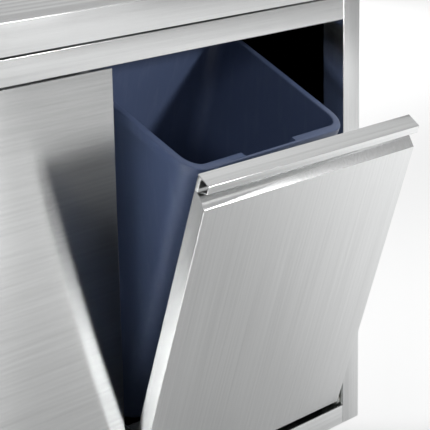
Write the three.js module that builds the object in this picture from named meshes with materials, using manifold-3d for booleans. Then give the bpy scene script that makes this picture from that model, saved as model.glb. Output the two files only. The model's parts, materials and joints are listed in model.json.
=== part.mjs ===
// Stainless-steel work cabinet with a tilt-out waste bin. Millimetres, +Z up.
//
// The left bay is closed by a fixed front panel. The right bay has a front that turns on two
// pins at its foot and carries a plastic bin. The tilt front is drawn open, against its stop.
//
// Every part is drawn where it stands when the tilt front is shut: X = 0 on the middle of the
// cabinet, Y = 0 on its front face with +Y into the cabinet, Z = 0 on the floor. The groups then
// turn the tilt front open and put the origin at the middle of the base.

import * as THREE from 'three';
import { mergeVertices } from 'three/addons/utils/BufferGeometryUtils.js';
import Module from 'manifold-3d';

const wasm = await Module();
wasm.setup();

// Cabinet
const WIDTH = 1000;
const DEPTH = 600;
const HEIGHT = 850;
const POST_WIDTH = 38;
const POST_DEPTH = 36;
const TOP_RAIL = 32;
const BOTTOM_RAIL = 29;
const OPENING_HEIGHT = 580;
const SLAB = 39.5; // height of the worktop's front band
const SLAB_GAP = 2.5; // shadow gap under the worktop
const SHEET = 1.5; // folded sheet
const WALL = 2; // wall of the frame tubes and of the brackets
const GAP = 0.3; // space between pieces that touch
const PANEL_THICKNESS = 22;
const PANEL_GAP = 2.5; // joint round the fixed front panel
const LIP = 12; // rear lips of the fixed front panel
const PAN_DEPTH = 20; // of the side and back panels
const DIVIDER = 20;
const DIVIDER_GAP = 0.5; // between the divider and the line of the fixed panel's edge
const FLOOR_DROP = 3; // of the floor panel below the edge of the opening
const FLOOR_FLANGE = 16;
const TOP_SKIN = 4; // thickness of the worktop's top, which holds the depth of the flutes
const CUT = 1; // how far a cutting shape reaches past the face that it cuts

// Tilt front
const TILT = THREE.MathUtils.degToRad(18);
const SIDE_GAP = 14; // between the tilt front and its bay, where the pivots stand
const FRONT_FOOT = 12.8; // lower edge of the tilt front above the bottom rail
const FOLD_HEIGHT = 440.5; // where the face folds inwards under the grip
const GRIP_TOP = 480;
const PIVOT_Y = 8;
const PIVOT_RISE = 10.5; // pivot axis above the bottom rail
const PIN_RADIUS = 4;
const EAR_THICKNESS = 5;
const EAR_RADIUS = 8;
const EAR_BORE = 6;
const EAR_Y = [4.5, 20];
const EAR_TOP = 60; // above the bottom rail
const BUSH_RADIUS = 5.7;
const BUSH_FLANGE_RADIUS = 7.5;
const BUSH_FLANGE = 1.5;
const BRACKET_PLATE = 2.5;
const BRACKET_TOP = 40; // above the bottom rail

// Bin, measured at its base
const BIN_FLOOR = 16; // above the bottom rail
const BIN_Y = 205; // middle of the base, from the face of the tilt front
const BIN_BASE_WIDTH = 260;
const BIN_BASE_DEPTH = 190;
const BIN_BASE_RADIUS = 26;
const BIN_DRAFT = THREE.MathUtils.degToRad(3.5);
const BIN_WALL = 3;
const RIM_FRONT_HEIGHT = 428.7; // top of the rim at the front, above the base
const RIM_SLOPE = THREE.MathUtils.degToRad(10); // the rim rises towards the back
const RIM_WIDTH = 9;
const RIM_DROP = 15; // height of the rim's skirt
const BIN_SKEW = THREE.MathUtils.degToRad(1.6); // the loose bin stands slightly askew

// Legs
const LEG_INSET = 60;
const LEG_RADIUS = 21;
const FOOT_HEIGHT = 45;
const FLANGE_HALF = 40;
const FLANGE_PLATE = 3;
const FOOT_CLEARANCE = 0.5; // between the foot and the bore of its tube
const FOOT_PLUG = 30; // how far the foot reaches up into its tube
const FOOT_DISC = [[22, 0], [25, 3], [25, 9]]; // radius and height
const FOOT_NECK = [[14, 15], [14, 28]];
const FOOT_CUP = [[20, 30], [20, FOOT_HEIGHT - GAP]];

// Levels and planes
const FRAME_TOP = HEIGHT - SLAB - SLAB_GAP;
const OPENING_TOP = FRAME_TOP - TOP_RAIL;
const OPENING_FOOT = OPENING_TOP - OPENING_HEIGHT;
const FRAME_FOOT = OPENING_FOOT - BOTTOM_RAIL;
const FLOOR_TOP = OPENING_FOOT - FLOOR_DROP;
const POST_INNER = WIDTH / 2 - POST_WIDTH;
const BAY_LEFT = PANEL_GAP; // left end of the right bay, at the edge of the fixed panel
const BAY_MIDDLE = (BAY_LEFT + POST_INNER) / 2;
const FRONT_HALF = (POST_INNER - BAY_LEFT) / 2 - SIDE_GAP;
const FRONT_BASE = OPENING_FOOT + FRONT_FOOT;
const PIVOT_Z = OPENING_FOOT + PIVOT_RISE;

// Finishes
const brushed = finish(0xc9cac9, 0.32, 1);
const plain = finish(0x9fa2a4, 0.45, 1);
const inner = finish(0x74777a, 0.5, 1);
const zinc = finish(0xb4b6b5, 0.4, 1);
const blue = finish(0x3a4765, 0.45, 0);
const rubber = finish(0x1b1c1d, 0.85, 0);
const nylon = finish(0xd9d8d2, 0.5, 0);

function finish(color, roughness, metalness) {
  return { color, roughness, metalness };
}

// --- Shapes -------------------------------------------------------------------------------

function solid(geometry) {
  geometry.deleteAttribute('normal');
  geometry.deleteAttribute('uv');
  const merged = mergeVertices(geometry, 1e-4);
  return new wasm.Manifold(new wasm.Mesh({
    numProp: 3,
    vertProperties: merged.attributes.position.array,
    triVerts: new Uint32Array(merged.index.array),
  }));
}

function box(x, y, z) {
  const geometry = new THREE.BoxGeometry(x[1] - x[0], y[1] - y[0], z[1] - z[0]);
  geometry.translate((x[0] + x[1]) / 2, (y[0] + y[1]) / 2, (z[0] + z[1]) / 2);
  return solid(geometry);
}

// A box whose x range is mirrored about `middle` when side is -1.
function sideBox(middle, side, x, y, z) {
  const ends = [middle + side * x[0], middle + side * x[1]].sort((a, b) => a - b);
  return box(ends, y, z);
}

// A profile of (y, z) points, extruded along X.
function alongX(points, x) {
  const shape = new THREE.Shape(points.map(([y, z]) => new THREE.Vector2(y, z)));
  const geometry = new THREE.ExtrudeGeometry(shape, { depth: x[1] - x[0], bevelEnabled: false });
  geometry.applyMatrix4(new THREE.Matrix4().set(0, 0, 1, x[0], 1, 0, 0, 0, 0, 1, 0, 0, 0, 0, 0, 1));
  return solid(geometry);
}

// The outline of a folded sheet: a line of points and the same line moved to its left.
function foldedSheet(points, thickness) {
  const path = points.map(([y, z]) => new THREE.Vector2(y, z));
  const side = path.map((point, i) => {
    const before = path[i].clone().sub(path[Math.max(i - 1, 0)]).normalize();
    const after = path[Math.min(i + 1, path.length - 1)].clone().sub(point).normalize();
    const from = i === 0 ? after : before;
    const to = i === path.length - 1 ? before : after;
    const normal = new THREE.Vector2(-from.y - to.y, from.x + to.x).normalize();
    const stretch = thickness / normal.dot(new THREE.Vector2(-to.y, to.x));
    return point.clone().addScaledVector(normal, stretch);
  });
  return [...path, ...side.reverse()].map(({ x, y }) => [x, y]);
}

// A rectangular tube, open at both ends, along 'x', 'y' or 'z'.
function tube(axis, x, y, z, wall = WALL) {
  const shrink = (range, name) => (
    name === axis ? [range[0] - CUT, range[1] + CUT] : [range[0] + wall, range[1] - wall]
  );
  return box(x, y, z).subtract(box(shrink(x, 'x'), shrink(y, 'y'), shrink(z, 'z')));
}

// A cylinder along X between two planes.
function roundBar(radius, x, y, z, sides = 24) {
  const geometry = new THREE.CylinderGeometry(radius, radius, Math.abs(x[1] - x[0]), sides);
  geometry.rotateZ(Math.PI / 2);
  geometry.translate((x[0] + x[1]) / 2, y, z);
  return solid(geometry);
}

// A turned piece standing on Z.
function turned(profile, x, y, sides = 32) {
  const geometry = new THREE.LatheGeometry(profile.map(([r, z]) => new THREE.Vector2(r, z)), sides);
  geometry.rotateX(Math.PI / 2);
  geometry.translate(x, y, 0);
  return solid(geometry);
}

function ofGeometry(manifold) {
  const { vertProperties, triVerts } = manifold.getMesh();
  const geometry = new THREE.BufferGeometry();
  geometry.setAttribute('position', new THREE.BufferAttribute(vertProperties, 3));
  geometry.setIndex(new THREE.BufferAttribute(triVerts, 1));
  const faceted = geometry.toNonIndexed();
  faceted.computeVertexNormals();
  return faceted;
}

function part(name, look, shape) {
  const mesh = new THREE.Mesh(ofGeometry(shape), new THREE.MeshStandardMaterial(look));
  mesh.name = name;
  return mesh;
}

const SIDES = [['left', -1], ['right', 1]];

// --- Frame --------------------------------------------------------------------------------

function posts() {
  const rows = [['front', [0, POST_DEPTH]], ['rear', [DEPTH - POST_DEPTH, DEPTH]]];
  return rows.flatMap(([row, y]) => SIDES.map(([name, side]) => {
    const x = [side * POST_INNER, side * WIDTH / 2].sort((a, b) => a - b);
    return part(`post_${row}_${name}`, brushed, tube('z', x, y, [FRAME_FOOT, FRAME_TOP]));
  }));
}

function crossRails() {
  const x = [-POST_INNER + GAP, POST_INNER - GAP];
  const rows = [['front', [0, POST_DEPTH]], ['rear', [DEPTH - POST_DEPTH, DEPTH]]];
  return rows.flatMap(([row, y]) => [
    part(`rail_${row}_top`, brushed, tube('x', x, y, [OPENING_TOP, FRAME_TOP])),
    part(`rail_${row}_bottom`, brushed, tube('x', x, y, [FRAME_FOOT, OPENING_FOOT])),
  ]);
}

function sideRails() {
  const y = [POST_DEPTH + GAP, DEPTH - POST_DEPTH - GAP];
  return SIDES.flatMap(([name, side]) => {
    const x = [side * POST_INNER, side * WIDTH / 2].sort((a, b) => a - b);
    return [
      part(`rail_${name}_top`, brushed, tube('y', x, y, [OPENING_TOP, FRAME_TOP])),
      part(`rail_${name}_bottom`, brushed, tube('y', x, y, [FRAME_FOOT, OPENING_FOOT])),
    ];
  });
}

// --- Panels -------------------------------------------------------------------------------

// Sheets with folded edges that fill the frame at both sides.
function sidePanels() {
  const y = [POST_DEPTH + GAP, DEPTH - POST_DEPTH - GAP];
  const z = [OPENING_FOOT + GAP, OPENING_TOP - GAP];
  return SIDES.map(([name, side]) => {
    const pan = sideBox(0, side, [WIDTH / 2 - PAN_DEPTH, WIDTH / 2], y, z);
    const hollow = sideBox(0, side, [WIDTH / 2 - PAN_DEPTH - CUT, WIDTH / 2 - SHEET],
      [y[0] + SHEET, y[1] - SHEET], [z[0] + SHEET, z[1] - SHEET]);
    return part(`side_panel_${name}`, brushed, pan.subtract(hollow));
  });
}

function backPanel() {
  const x = [-POST_INNER + GAP, POST_INNER - GAP];
  const z = [OPENING_FOOT + GAP, OPENING_TOP - GAP];
  const pan = box(x, [DEPTH - PAN_DEPTH, DEPTH], z);
  const hollow = box([x[0] + SHEET, x[1] - SHEET], [DEPTH - PAN_DEPTH - CUT, DEPTH - SHEET],
    [z[0] + SHEET, z[1] - SHEET]);
  return part('back_panel', brushed, pan.subtract(hollow));
}

function floorPanel() {
  const y = [POST_DEPTH + GAP, DEPTH - POST_DEPTH - GAP];
  const flange = FLOOR_TOP - FLOOR_FLANGE;
  const profile = foldedSheet(
    [[y[1], flange], [y[1], FLOOR_TOP], [y[0], FLOOR_TOP], [y[0], flange]], SHEET);
  return part('floor_panel', inner, alongX(profile, [-POST_INNER + GAP, POST_INNER - GAP]));
}

// The hollow wall between the bays.
function divider() {
  const x = [BAY_LEFT - DIVIDER_GAP - DIVIDER, BAY_LEFT - DIVIDER_GAP];
  const y = [POST_DEPTH + GAP, DEPTH - POST_DEPTH - GAP];
  const z = [FLOOR_TOP + GAP, OPENING_TOP - GAP];
  return part('divider', inner, tube('z', x, y, z, SHEET));
}

// The fixed front: a pan with returns all round and lips behind its upright edges.
function fixedFront() {
  const x = [-POST_INNER + PANEL_GAP, BAY_LEFT];
  const z = [OPENING_FOOT + PANEL_GAP, OPENING_TOP - PANEL_GAP];
  const cavity = box([x[0] + SHEET, x[1] - SHEET], [SHEET, PANEL_THICKNESS - SHEET],
    [z[0] + SHEET, z[1] - SHEET]);
  const rear = box([x[0] + LIP, x[1] - LIP], [SHEET, PANEL_THICKNESS + CUT],
    [z[0] + SHEET, z[1] - SHEET]);
  const pan = box(x, [0, PANEL_THICKNESS], z).subtract(cavity).subtract(rear);
  return part('front_panel_left', brushed, pan);
}

const BRACKET_LENGTH = 40;
const BRACKET_HEIGHTS = [['lower', OPENING_FOOT + 90], ['upper', OPENING_TOP - 130]];
const POST_BRACKET_WIDTH = 20;
const DIVIDER_BRACKET_DEPTH = 45;

// Angles that hold the lips of the fixed front to the post and to the divider.
function panelBrackets() {
  const behind = PANEL_THICKNESS + GAP;
  return BRACKET_HEIGHTS.flatMap(([level, foot]) => {
    const z = [foot, foot + BRACKET_LENGTH];
    const post = -POST_INNER + GAP;
    const wall = BAY_LEFT - DIVIDER_GAP - DIVIDER - GAP;
    const edge = BAY_LEFT - SHEET - DIVIDER_GAP;
    const atPost = box([post, post + WALL], [behind, POST_DEPTH], z)
      .add(box([post, post + POST_BRACKET_WIDTH], [behind, behind + WALL], z));
    const atDivider = box([wall - WALL, wall], [behind, behind + DIVIDER_BRACKET_DEPTH], z)
      .add(box([wall - WALL, edge], [behind, behind + WALL], z));
    return [
      part(`panel_bracket_left_${level}`, zinc, atPost),
      part(`panel_bracket_right_${level}`, zinc, atDivider),
    ];
  });
}

// --- Worktop ------------------------------------------------------------------------------

const FLUTE_PITCH = 24.5;
const FLUTE_COUNT = 21;
const FLUTE_START = 47;
const FLUTE_DEPTH = 2;
const FLUTE_WIDTH = 15;
const FLUTE_END = 455; // half length of a flute
const FLUTE_RISE = 0.2; // how far the cutting shape of a flute stands above the worktop
const FLUTE_FLARE = 0.5; // how much wider it is there, on each side
const STIFFENER_HALF = 20;
const STIFFENER_END = 20; // from the end of a stiffener to the end of the worktop

// The drained worktop: a deep folded sheet whose top has flutes along the front.
function worktop() {
  let slab = box([-WIDTH / 2, WIDTH / 2], [0, DEPTH], [HEIGHT - SLAB, HEIGHT]);
  slab = slab.subtract(box([-WIDTH / 2 + SHEET, WIDTH / 2 - SHEET], [SHEET, DEPTH - SHEET],
    [HEIGHT - SLAB - CUT, HEIGHT - TOP_SKIN]));
  for (let i = 0; i < FLUTE_COUNT; i += 1) {
    const y = FLUTE_START + i * FLUTE_PITCH;
    const flute = [
      [y - FLUTE_WIDTH / 2 - FLUTE_FLARE, HEIGHT + FLUTE_RISE],
      [y - FLUTE_WIDTH / 4, HEIGHT - FLUTE_DEPTH],
      [y + FLUTE_WIDTH / 4, HEIGHT - FLUTE_DEPTH],
      [y + FLUTE_WIDTH / 2 + FLUTE_FLARE, HEIGHT + FLUTE_RISE],
    ];
    slab = slab.subtract(alongX(flute, [-FLUTE_END, FLUTE_END]));
  }
  return part('worktop', brushed, slab);
}

function worktopStiffeners() {
  const x = [-WIDTH / 2 + STIFFENER_END, WIDTH / 2 - STIFFENER_END];
  const z = [FRAME_TOP + GAP, HEIGHT - TOP_SKIN - GAP];
  const rows = [['front', DEPTH / 3], ['rear', 2 * DEPTH / 3]];
  return rows.map(([row, y]) => (
    part(`worktop_stiffener_${row}`, zinc, tube('x', x, [y - STIFFENER_HALF, y + STIFFENER_HALF], z))));
}

// --- Legs ---------------------------------------------------------------------------------

// Tubes with a welded flange, each on a foot that screws out for levelling.
function legs() {
  const rows = [['front', LEG_INSET], ['rear', DEPTH - LEG_INSET]];
  return rows.flatMap(([row, y]) => SIDES.flatMap(([name, side]) => {
    const x = side * (WIDTH / 2 - LEG_INSET);
    return [
      part(`leg_${row}_${name}`, brushed, legTube(x, y)),
      part(`leg_foot_${row}_${name}`, rubber, legFoot(x, y)),
    ];
  }));
}

function legTube(x, y) {
  const bore = LEG_RADIUS - SHEET;
  const plate = [FRAME_FOOT - GAP - FLANGE_PLATE, FRAME_FOOT - GAP];
  const top = (plate[0] + plate[1]) / 2;
  const profile = [[bore, FOOT_HEIGHT], [LEG_RADIUS, FOOT_HEIGHT], [LEG_RADIUS, top],
    [bore, top], [bore, FOOT_HEIGHT]];
  const flange = box([x - FLANGE_HALF, x + FLANGE_HALF], [y - FLANGE_HALF, y + FLANGE_HALF], plate);
  return turned(profile, x, y).add(flange);
}

function legFoot(x, y) {
  const plug = LEG_RADIUS - SHEET - FOOT_CLEARANCE;
  const seat = FOOT_CUP[1][1];
  const top = FOOT_HEIGHT + FOOT_PLUG;
  return turned([[0, 0], ...FOOT_DISC, ...FOOT_NECK, ...FOOT_CUP, [plug, seat], [plug, top],
    [0, top]], x, y);
}

// --- Pivots and stops ---------------------------------------------------------------------

// Distances along X from the middle of the bay to the pieces of a pivot.
const EAR_FACE = FRONT_HALF + GAP;
const BRACKET_FACE = FRONT_HALF + SIDE_GAP - GAP;
const BRACKET_REACH = { left: POST_DEPTH + 50, right: POST_DEPTH - 2 };

// The left bracket reaches past the front rail to the divider.
function pivotBracket(name, side) {
  const plate = sideBox(BAY_MIDDLE, side, [BRACKET_FACE - BRACKET_PLATE, BRACKET_FACE],
    [1, BRACKET_REACH[name]], [OPENING_FOOT + GAP, OPENING_FOOT + BRACKET_TOP]);
  return part(`pivot_bracket_${name}`, zinc, plate);
}

function pivotPin(name, side) {
  const end = BRACKET_FACE - BRACKET_PLATE - GAP;
  const x = [EAR_FACE, end].map((offset) => BAY_MIDDLE + side * offset);
  return part(`pivot_pin_${name}`, zinc, roundBar(PIN_RADIUS, x, PIVOT_Y, PIVOT_Z));
}

const STOP_Y = 28; // front of the plate that carries a buffer
const STOP_HEIGHT = [OPENING_FOOT + 62, OPENING_FOOT + 88];
const STOP_WIDTH = 30;
const STOP_REACH = { left: POST_DEPTH + 30, right: POST_DEPTH - 1 };
const BUFFER_RADIUS = 6;
const BUFFER_OFFSET = 22; // from the foot of the angle to the middle of the buffer

// A rubber buffer on an angle, which the back of the tilt front meets when it is shut.
function closingStop(name, side) {
  const z = STOP_HEIGHT;
  const plate = [STOP_Y, STOP_Y + WALL];
  const angle = sideBox(BAY_MIDDLE, side, [BRACKET_FACE - WALL, BRACKET_FACE],
    [STOP_Y, STOP_REACH[name]], z)
    .add(sideBox(BAY_MIDDLE, side, [BRACKET_FACE - STOP_WIDTH, BRACKET_FACE], plate, z));
  const length = STOP_Y - PANEL_THICKNESS - 2 * GAP;
  const buffer = new THREE.CylinderGeometry(BUFFER_RADIUS, BUFFER_RADIUS, length, 20);
  buffer.translate(BAY_MIDDLE + side * (BRACKET_FACE - BUFFER_OFFSET),
    (STOP_Y + PANEL_THICKNESS) / 2, (z[0] + z[1]) / 2);
  return [
    part(`closing_stop_${name}`, zinc, angle),
    part(`closing_buffer_${name}`, rubber, solid(buffer)),
  ];
}

const HOOK_X = [150, 178]; // from the middle of the bay
const HOOK_ARM = OPENING_FOOT + 156.4; // height of the arm
const HOOK_TIP = 284;
const HOOK_BACK = 331;
const HOOK_FOOT = 366;
const PAD_END = 298;
const PAD = 1.5;

// A hook on the cabinet floor that holds down the rear of the open bin shelf.
function openingStop(name, side) {
  const foot = FLOOR_TOP + GAP;
  const hook = foldedSheet([[HOOK_TIP, HOOK_ARM], [HOOK_BACK, HOOK_ARM], [HOOK_BACK, foot],
    [HOOK_FOOT, foot]], WALL);
  const ends = HOOK_X.map((offset) => BAY_MIDDLE + side * offset).sort((a, b) => a - b);
  const pad = box(ends, [HOOK_TIP, PAD_END], [HOOK_ARM - GAP - PAD, HOOK_ARM - GAP]);
  return [
    part(`opening_stop_${name}`, zinc, alongX(hook, ends)),
    part(`opening_pad_${name}`, rubber, pad),
  ];
}

// --- Tilt front ---------------------------------------------------------------------------

const SKIN_X = [BAY_MIDDLE - FRONT_HALF, BAY_MIDDLE + FRONT_HALF];
const FOLD_Z = OPENING_FOOT + FOLD_HEIGHT;
const RECESS_DEPTH = 16.3; // the folded part of the face rises inwards at about 45 degrees
const RECESS_TOP = FOLD_Z + 16.7;
const BAR_TOP = OPENING_FOOT + GRIP_TOP;
const BAR_LIP = [[22, BAR_TOP], [1.2, BAR_TOP - 7.5], [1, BAR_TOP - 18], [13, BAR_TOP - 21.5]];
const BAR_BACK = [16.4, 17.9]; // the sheet behind the recess
const BAR_BACK_TOP = BAR_TOP - 2.4;
const BAR_END = PANEL_THICKNESS - 0.5;
const LINER_Y = [20.5, PANEL_THICKNESS];
const LINER_TOP = BAR_TOP - 4;

// The face, its foot and its fold are one sheet, closed at both ends by a cheek.
function frontSkin() {
  const depth = PANEL_THICKNESS;
  const outline = [[0, FRONT_BASE], [depth, FRONT_BASE], [depth, RECESS_TOP],
    [RECESS_DEPTH, RECESS_TOP], [0, FOLD_Z]];
  const line = [[RECESS_DEPTH, RECESS_TOP], [0, FOLD_Z], [0, FRONT_BASE],
    [depth + CUT, FRONT_BASE]];
  const innerFace = foldedSheet(line, SHEET).slice(line.length);
  const cavity = [...innerFace, [RECESS_DEPTH, RECESS_TOP], [RECESS_DEPTH, RECESS_TOP + CUT],
    [depth + CUT, RECESS_TOP + CUT]];
  const between = [SKIN_X[0] + SHEET, SKIN_X[1] - SHEET];
  const skin = alongX(outline, SKIN_X).subtract(alongX(cavity, between));
  return part('tilt_front_skin', brushed, skin);
}

// The hollow bar above the recess, which the fingers grip from below.
function gripBar() {
  const hood = alongX(foldedSheet(BAR_LIP, SHEET), SKIN_X);
  const z = [RECESS_TOP + GAP, BAR_BACK_TOP];
  const back = box(SKIN_X, BAR_BACK, z);
  const ends = [SKIN_X[0], SKIN_X[1] - SHEET].map((x) => (
    box([x, x + SHEET], [BAR_BACK[0], BAR_END], z)));
  return part('grip_bar', brushed, hood.add(back).add(ends[0]).add(ends[1]));
}

function frontLiner() {
  const x = [SKIN_X[0] + SHEET + GAP, SKIN_X[1] - SHEET - GAP];
  const sheet = box(x, LINER_Y, [FRONT_BASE + SHEET + GAP, LINER_TOP]);
  return part('tilt_front_liner', plain, sheet);
}

// Lugs on the cheeks of the tilt front, bored for the bushes.
function hingeEar(name, side) {
  const x = [EAR_FACE, EAR_FACE + EAR_THICKNESS];
  const across = x.map((offset) => BAY_MIDDLE + side * offset);
  const plate = sideBox(BAY_MIDDLE, side, x, EAR_Y, [PIVOT_Z, OPENING_FOOT + EAR_TOP]);
  const beyond = [across[0] - side * CUT, across[1] + side * CUT];
  const ear = roundBar(EAR_RADIUS, across, PIVOT_Y, PIVOT_Z).add(plate)
    .subtract(roundBar(EAR_BORE, beyond, PIVOT_Y, PIVOT_Z));
  return part(`hinge_ear_${name}`, zinc, ear);
}

function pivotBush(name, side) {
  const at = (from, to) => [from, to].map((offset) => BAY_MIDDLE + side * offset);
  const flange = EAR_FACE + EAR_THICKNESS + GAP;
  const end = flange + BUSH_FLANGE;
  const sleeve = roundBar(BUSH_RADIUS, at(EAR_FACE, end), PIVOT_Y, PIVOT_Z)
    .add(roundBar(BUSH_FLANGE_RADIUS, at(flange, end), PIVOT_Y, PIVOT_Z));
  const bore = roundBar(PIN_RADIUS + GAP, at(EAR_FACE - CUT, end + CUT), PIVOT_Y, PIVOT_Z);
  return part(`pivot_bush_${name}`, nylon, sleeve.subtract(bore));
}

// --- Bin carrier --------------------------------------------------------------------------

const SHELF_HALF = 188;
const SHELF_BACK = 321;
const SHELF_TOP = OPENING_FOOT + BIN_FLOOR - GAP;
const SHELF_FLANGE = OPENING_FOOT + 60;
const GUSSET_BACK = 14; // height of the gussets at the rear of the shelf
const GUSSET_FRONT = 62;
const GUSSET_FLAT = 40;
const LOCATOR_HALF = [143, 107];
const LOCATOR_HEIGHT = 18;

function binShelf() {
  const front = PANEL_THICKNESS + GAP;
  const tray = foldedSheet([[front, SHELF_FLANGE], [front, SHELF_TOP - SHEET],
    [SHELF_BACK, SHELF_TOP - SHEET], [SHELF_BACK, SHELF_FLANGE]], SHEET);
  return part('bin_shelf', plain, alongX(tray, [BAY_MIDDLE - SHELF_HALF, BAY_MIDDLE + SHELF_HALF]));
}

function shelfGusset(name, side) {
  const offset = SHELF_HALF + GAP;
  const x = [offset, offset + WALL].map((value) => BAY_MIDDLE + side * value).sort((a, b) => a - b);
  const front = PANEL_THICKNESS + GAP;
  const outline = [[front, SHELF_TOP - SHEET], [SHELF_BACK, SHELF_TOP - SHEET],
    [SHELF_BACK, SHELF_TOP + GUSSET_BACK], [front + GUSSET_FLAT, SHELF_TOP + GUSSET_FRONT],
    [front, SHELF_TOP + GUSSET_FRONT]];
  return part(`shelf_gusset_${name}`, plain, alongX(outline, x));
}

// A low frame on the shelf that keeps the foot of the bin in its place.
function binLocator() {
  const x = [BAY_MIDDLE - LOCATOR_HALF[0], BAY_MIDDLE + LOCATOR_HALF[0]];
  const y = [BIN_Y - LOCATOR_HALF[1], BIN_Y + LOCATOR_HALF[1]];
  const z = [SHELF_TOP + GAP, SHELF_TOP + LOCATOR_HEIGHT];
  return part('bin_locator', plain, tube('z', x, y, z, SHEET));
}

// --- Bin ----------------------------------------------------------------------------------

const ROUND_STEPS = 6;
const RADIUS_GROWTH = 0.3; // growth of the corner radius with the draft
const BLOCK_TOP = 560; // above the highest point of the rim
const RIM_BLOCK_FOOT = 300; // below the lowest point of the rim
const CUTTER = 900;

// The outline of the bin at height z, `out` millimetres outside its wall.
function binRing(z, out) {
  const growth = z * Math.tan(BIN_DRAFT) + out;
  const radius = BIN_BASE_RADIUS + growth * RADIUS_GROWTH;
  const halfX = BIN_BASE_WIDTH / 2 + growth - radius;
  const halfY = BIN_BASE_DEPTH / 2 + growth - radius;
  const corners = [[1, -1, -90], [1, 1, 0], [-1, 1, 90], [-1, -1, 180]];
  return corners.flatMap(([sx, sy, start]) => (
    Array.from({ length: ROUND_STEPS + 1 }, (_, i) => {
      const angle = THREE.MathUtils.degToRad(start + i * 90 / ROUND_STEPS);
      return [sx * halfX + radius * Math.cos(angle), sy * halfY + radius * Math.sin(angle), z];
    })));
}

// A tapered block between two heights.
function binBlock(foot, top, out) {
  const rings = [binRing(foot, out), binRing(top, out)];
  const count = rings[0].length;
  const positions = [...rings[0], ...rings[1], [0, 0, foot], [0, 0, top]].flat();
  const index = [];
  for (let i = 0; i < count; i += 1) {
    const next = (i + 1) % count;
    index.push(i, next, count + next, i, count + next, count + i);
    index.push(2 * count, next, i, 2 * count + 1, count + i, count + next);
  }
  const geometry = new THREE.BufferGeometry();
  geometry.setAttribute('position', new THREE.Float32BufferAttribute(positions, 3));
  geometry.setIndex(index);
  return solid(geometry);
}

// Everything above the plane of the rim, lowered by `drop`.
function aboveRim(drop) {
  const geometry = new THREE.BoxGeometry(CUTTER, CUTTER, CUTTER);
  geometry.translate(0, 0, CUTTER / 2);
  geometry.rotateX(RIM_SLOPE);
  const front = -(BIN_BASE_DEPTH / 2 + RIM_FRONT_HEIGHT * Math.tan(BIN_DRAFT) + RIM_WIDTH);
  geometry.translate(0, front, RIM_FRONT_HEIGHT - drop);
  return solid(geometry);
}

function bin() {
  const rim = binBlock(RIM_BLOCK_FOOT, BLOCK_TOP, RIM_WIDTH).intersect(aboveRim(RIM_DROP));
  const hollow = binBlock(BIN_WALL, BLOCK_TOP, -BIN_WALL);
  const body = binBlock(0, BLOCK_TOP, 0).add(rim).subtract(aboveRim(0)).subtract(hollow);
  const mesh = part('waste_bin', blue, body);
  mesh.position.set(BAY_MIDDLE, BIN_Y, OPENING_FOOT + BIN_FLOOR);
  mesh.rotation.z = BIN_SKEW;
  return mesh;
}

// --- Assembly -----------------------------------------------------------------------------

const cabinet = new THREE.Group();
cabinet.add(...posts(), ...crossRails(), ...sideRails());
cabinet.add(...sidePanels(), backPanel(), floorPanel(), divider(), fixedFront());
cabinet.add(...panelBrackets(), worktop(), ...worktopStiffeners(), ...legs());
for (const [name, side] of SIDES) {
  cabinet.add(pivotBracket(name, side), pivotPin(name, side));
  cabinet.add(...closingStop(name, side), ...openingStop(name, side));
}

const carrier = new THREE.Group();
carrier.position.set(0, -PIVOT_Y, -PIVOT_Z);
carrier.add(frontSkin(), gripBar(), frontLiner(), binShelf(), binLocator(), bin());
for (const [name, side] of SIDES) {
  carrier.add(hingeEar(name, side), pivotBush(name, side), shelfGusset(name, side));
}

const tiltFront = new THREE.Group();
tiltFront.position.set(0, PIVOT_Y, PIVOT_Z);
tiltFront.rotation.x = TILT;
tiltFront.add(carrier);

const model = new THREE.Group();
model.add(cabinet, tiltFront);
model.updateMatrixWorld(true);
const middle = new THREE.Box3().setFromObject(model, true).getCenter(new THREE.Vector3());
model.position.set(-middle.x, -middle.y, 0);
model.updateMatrixWorld(true);

export default model;
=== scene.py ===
"""Stainless-steel work cabinet with a tilt-out waste bin: its visible pieces, finishes and studio.

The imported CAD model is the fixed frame. Sheet-metal pieces are remade from their CAD nodes with the
rounded folds and broken edges of real sheet metal, and the worktop, the bin, the legs and the
fasteners are modelled here. Units are metres, +Z is up, and the fronts face -Y.
"""

import json
import logging
import math
from collections.abc import Callable, Iterator, Sequence
from contextlib import contextmanager
from dataclasses import dataclass, field
from enum import Enum

import bmesh
import bpy
from mathutils import Matrix, Vector


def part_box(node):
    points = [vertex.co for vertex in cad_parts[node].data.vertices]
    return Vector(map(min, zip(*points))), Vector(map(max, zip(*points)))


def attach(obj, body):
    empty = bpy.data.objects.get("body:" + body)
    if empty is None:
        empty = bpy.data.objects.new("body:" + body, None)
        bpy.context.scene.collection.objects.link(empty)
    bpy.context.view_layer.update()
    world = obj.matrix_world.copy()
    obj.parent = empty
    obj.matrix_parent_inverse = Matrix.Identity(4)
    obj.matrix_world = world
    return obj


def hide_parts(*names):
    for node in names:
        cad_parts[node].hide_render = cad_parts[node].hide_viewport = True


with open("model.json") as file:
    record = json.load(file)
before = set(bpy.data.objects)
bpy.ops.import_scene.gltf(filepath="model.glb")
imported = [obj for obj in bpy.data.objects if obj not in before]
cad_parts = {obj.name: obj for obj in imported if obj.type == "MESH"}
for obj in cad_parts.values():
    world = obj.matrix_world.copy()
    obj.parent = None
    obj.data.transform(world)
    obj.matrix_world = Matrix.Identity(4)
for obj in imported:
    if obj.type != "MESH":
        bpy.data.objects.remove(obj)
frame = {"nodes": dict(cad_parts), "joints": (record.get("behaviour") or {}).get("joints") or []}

LOG = logging.getLogger("waste_bin_cabinet")
MM = 0.001
UP = Vector((0.0, 0.0, 1.0))


# --- The hand tools ---------------------------------------------------------------------------


class Axis(Enum):
    """A direction of the frame, as the names that the operators take."""

    X = (1.0, 0.0, 0.0)
    Y = (0.0, 1.0, 0.0)
    Z = (0.0, 0.0, 1.0)


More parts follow.
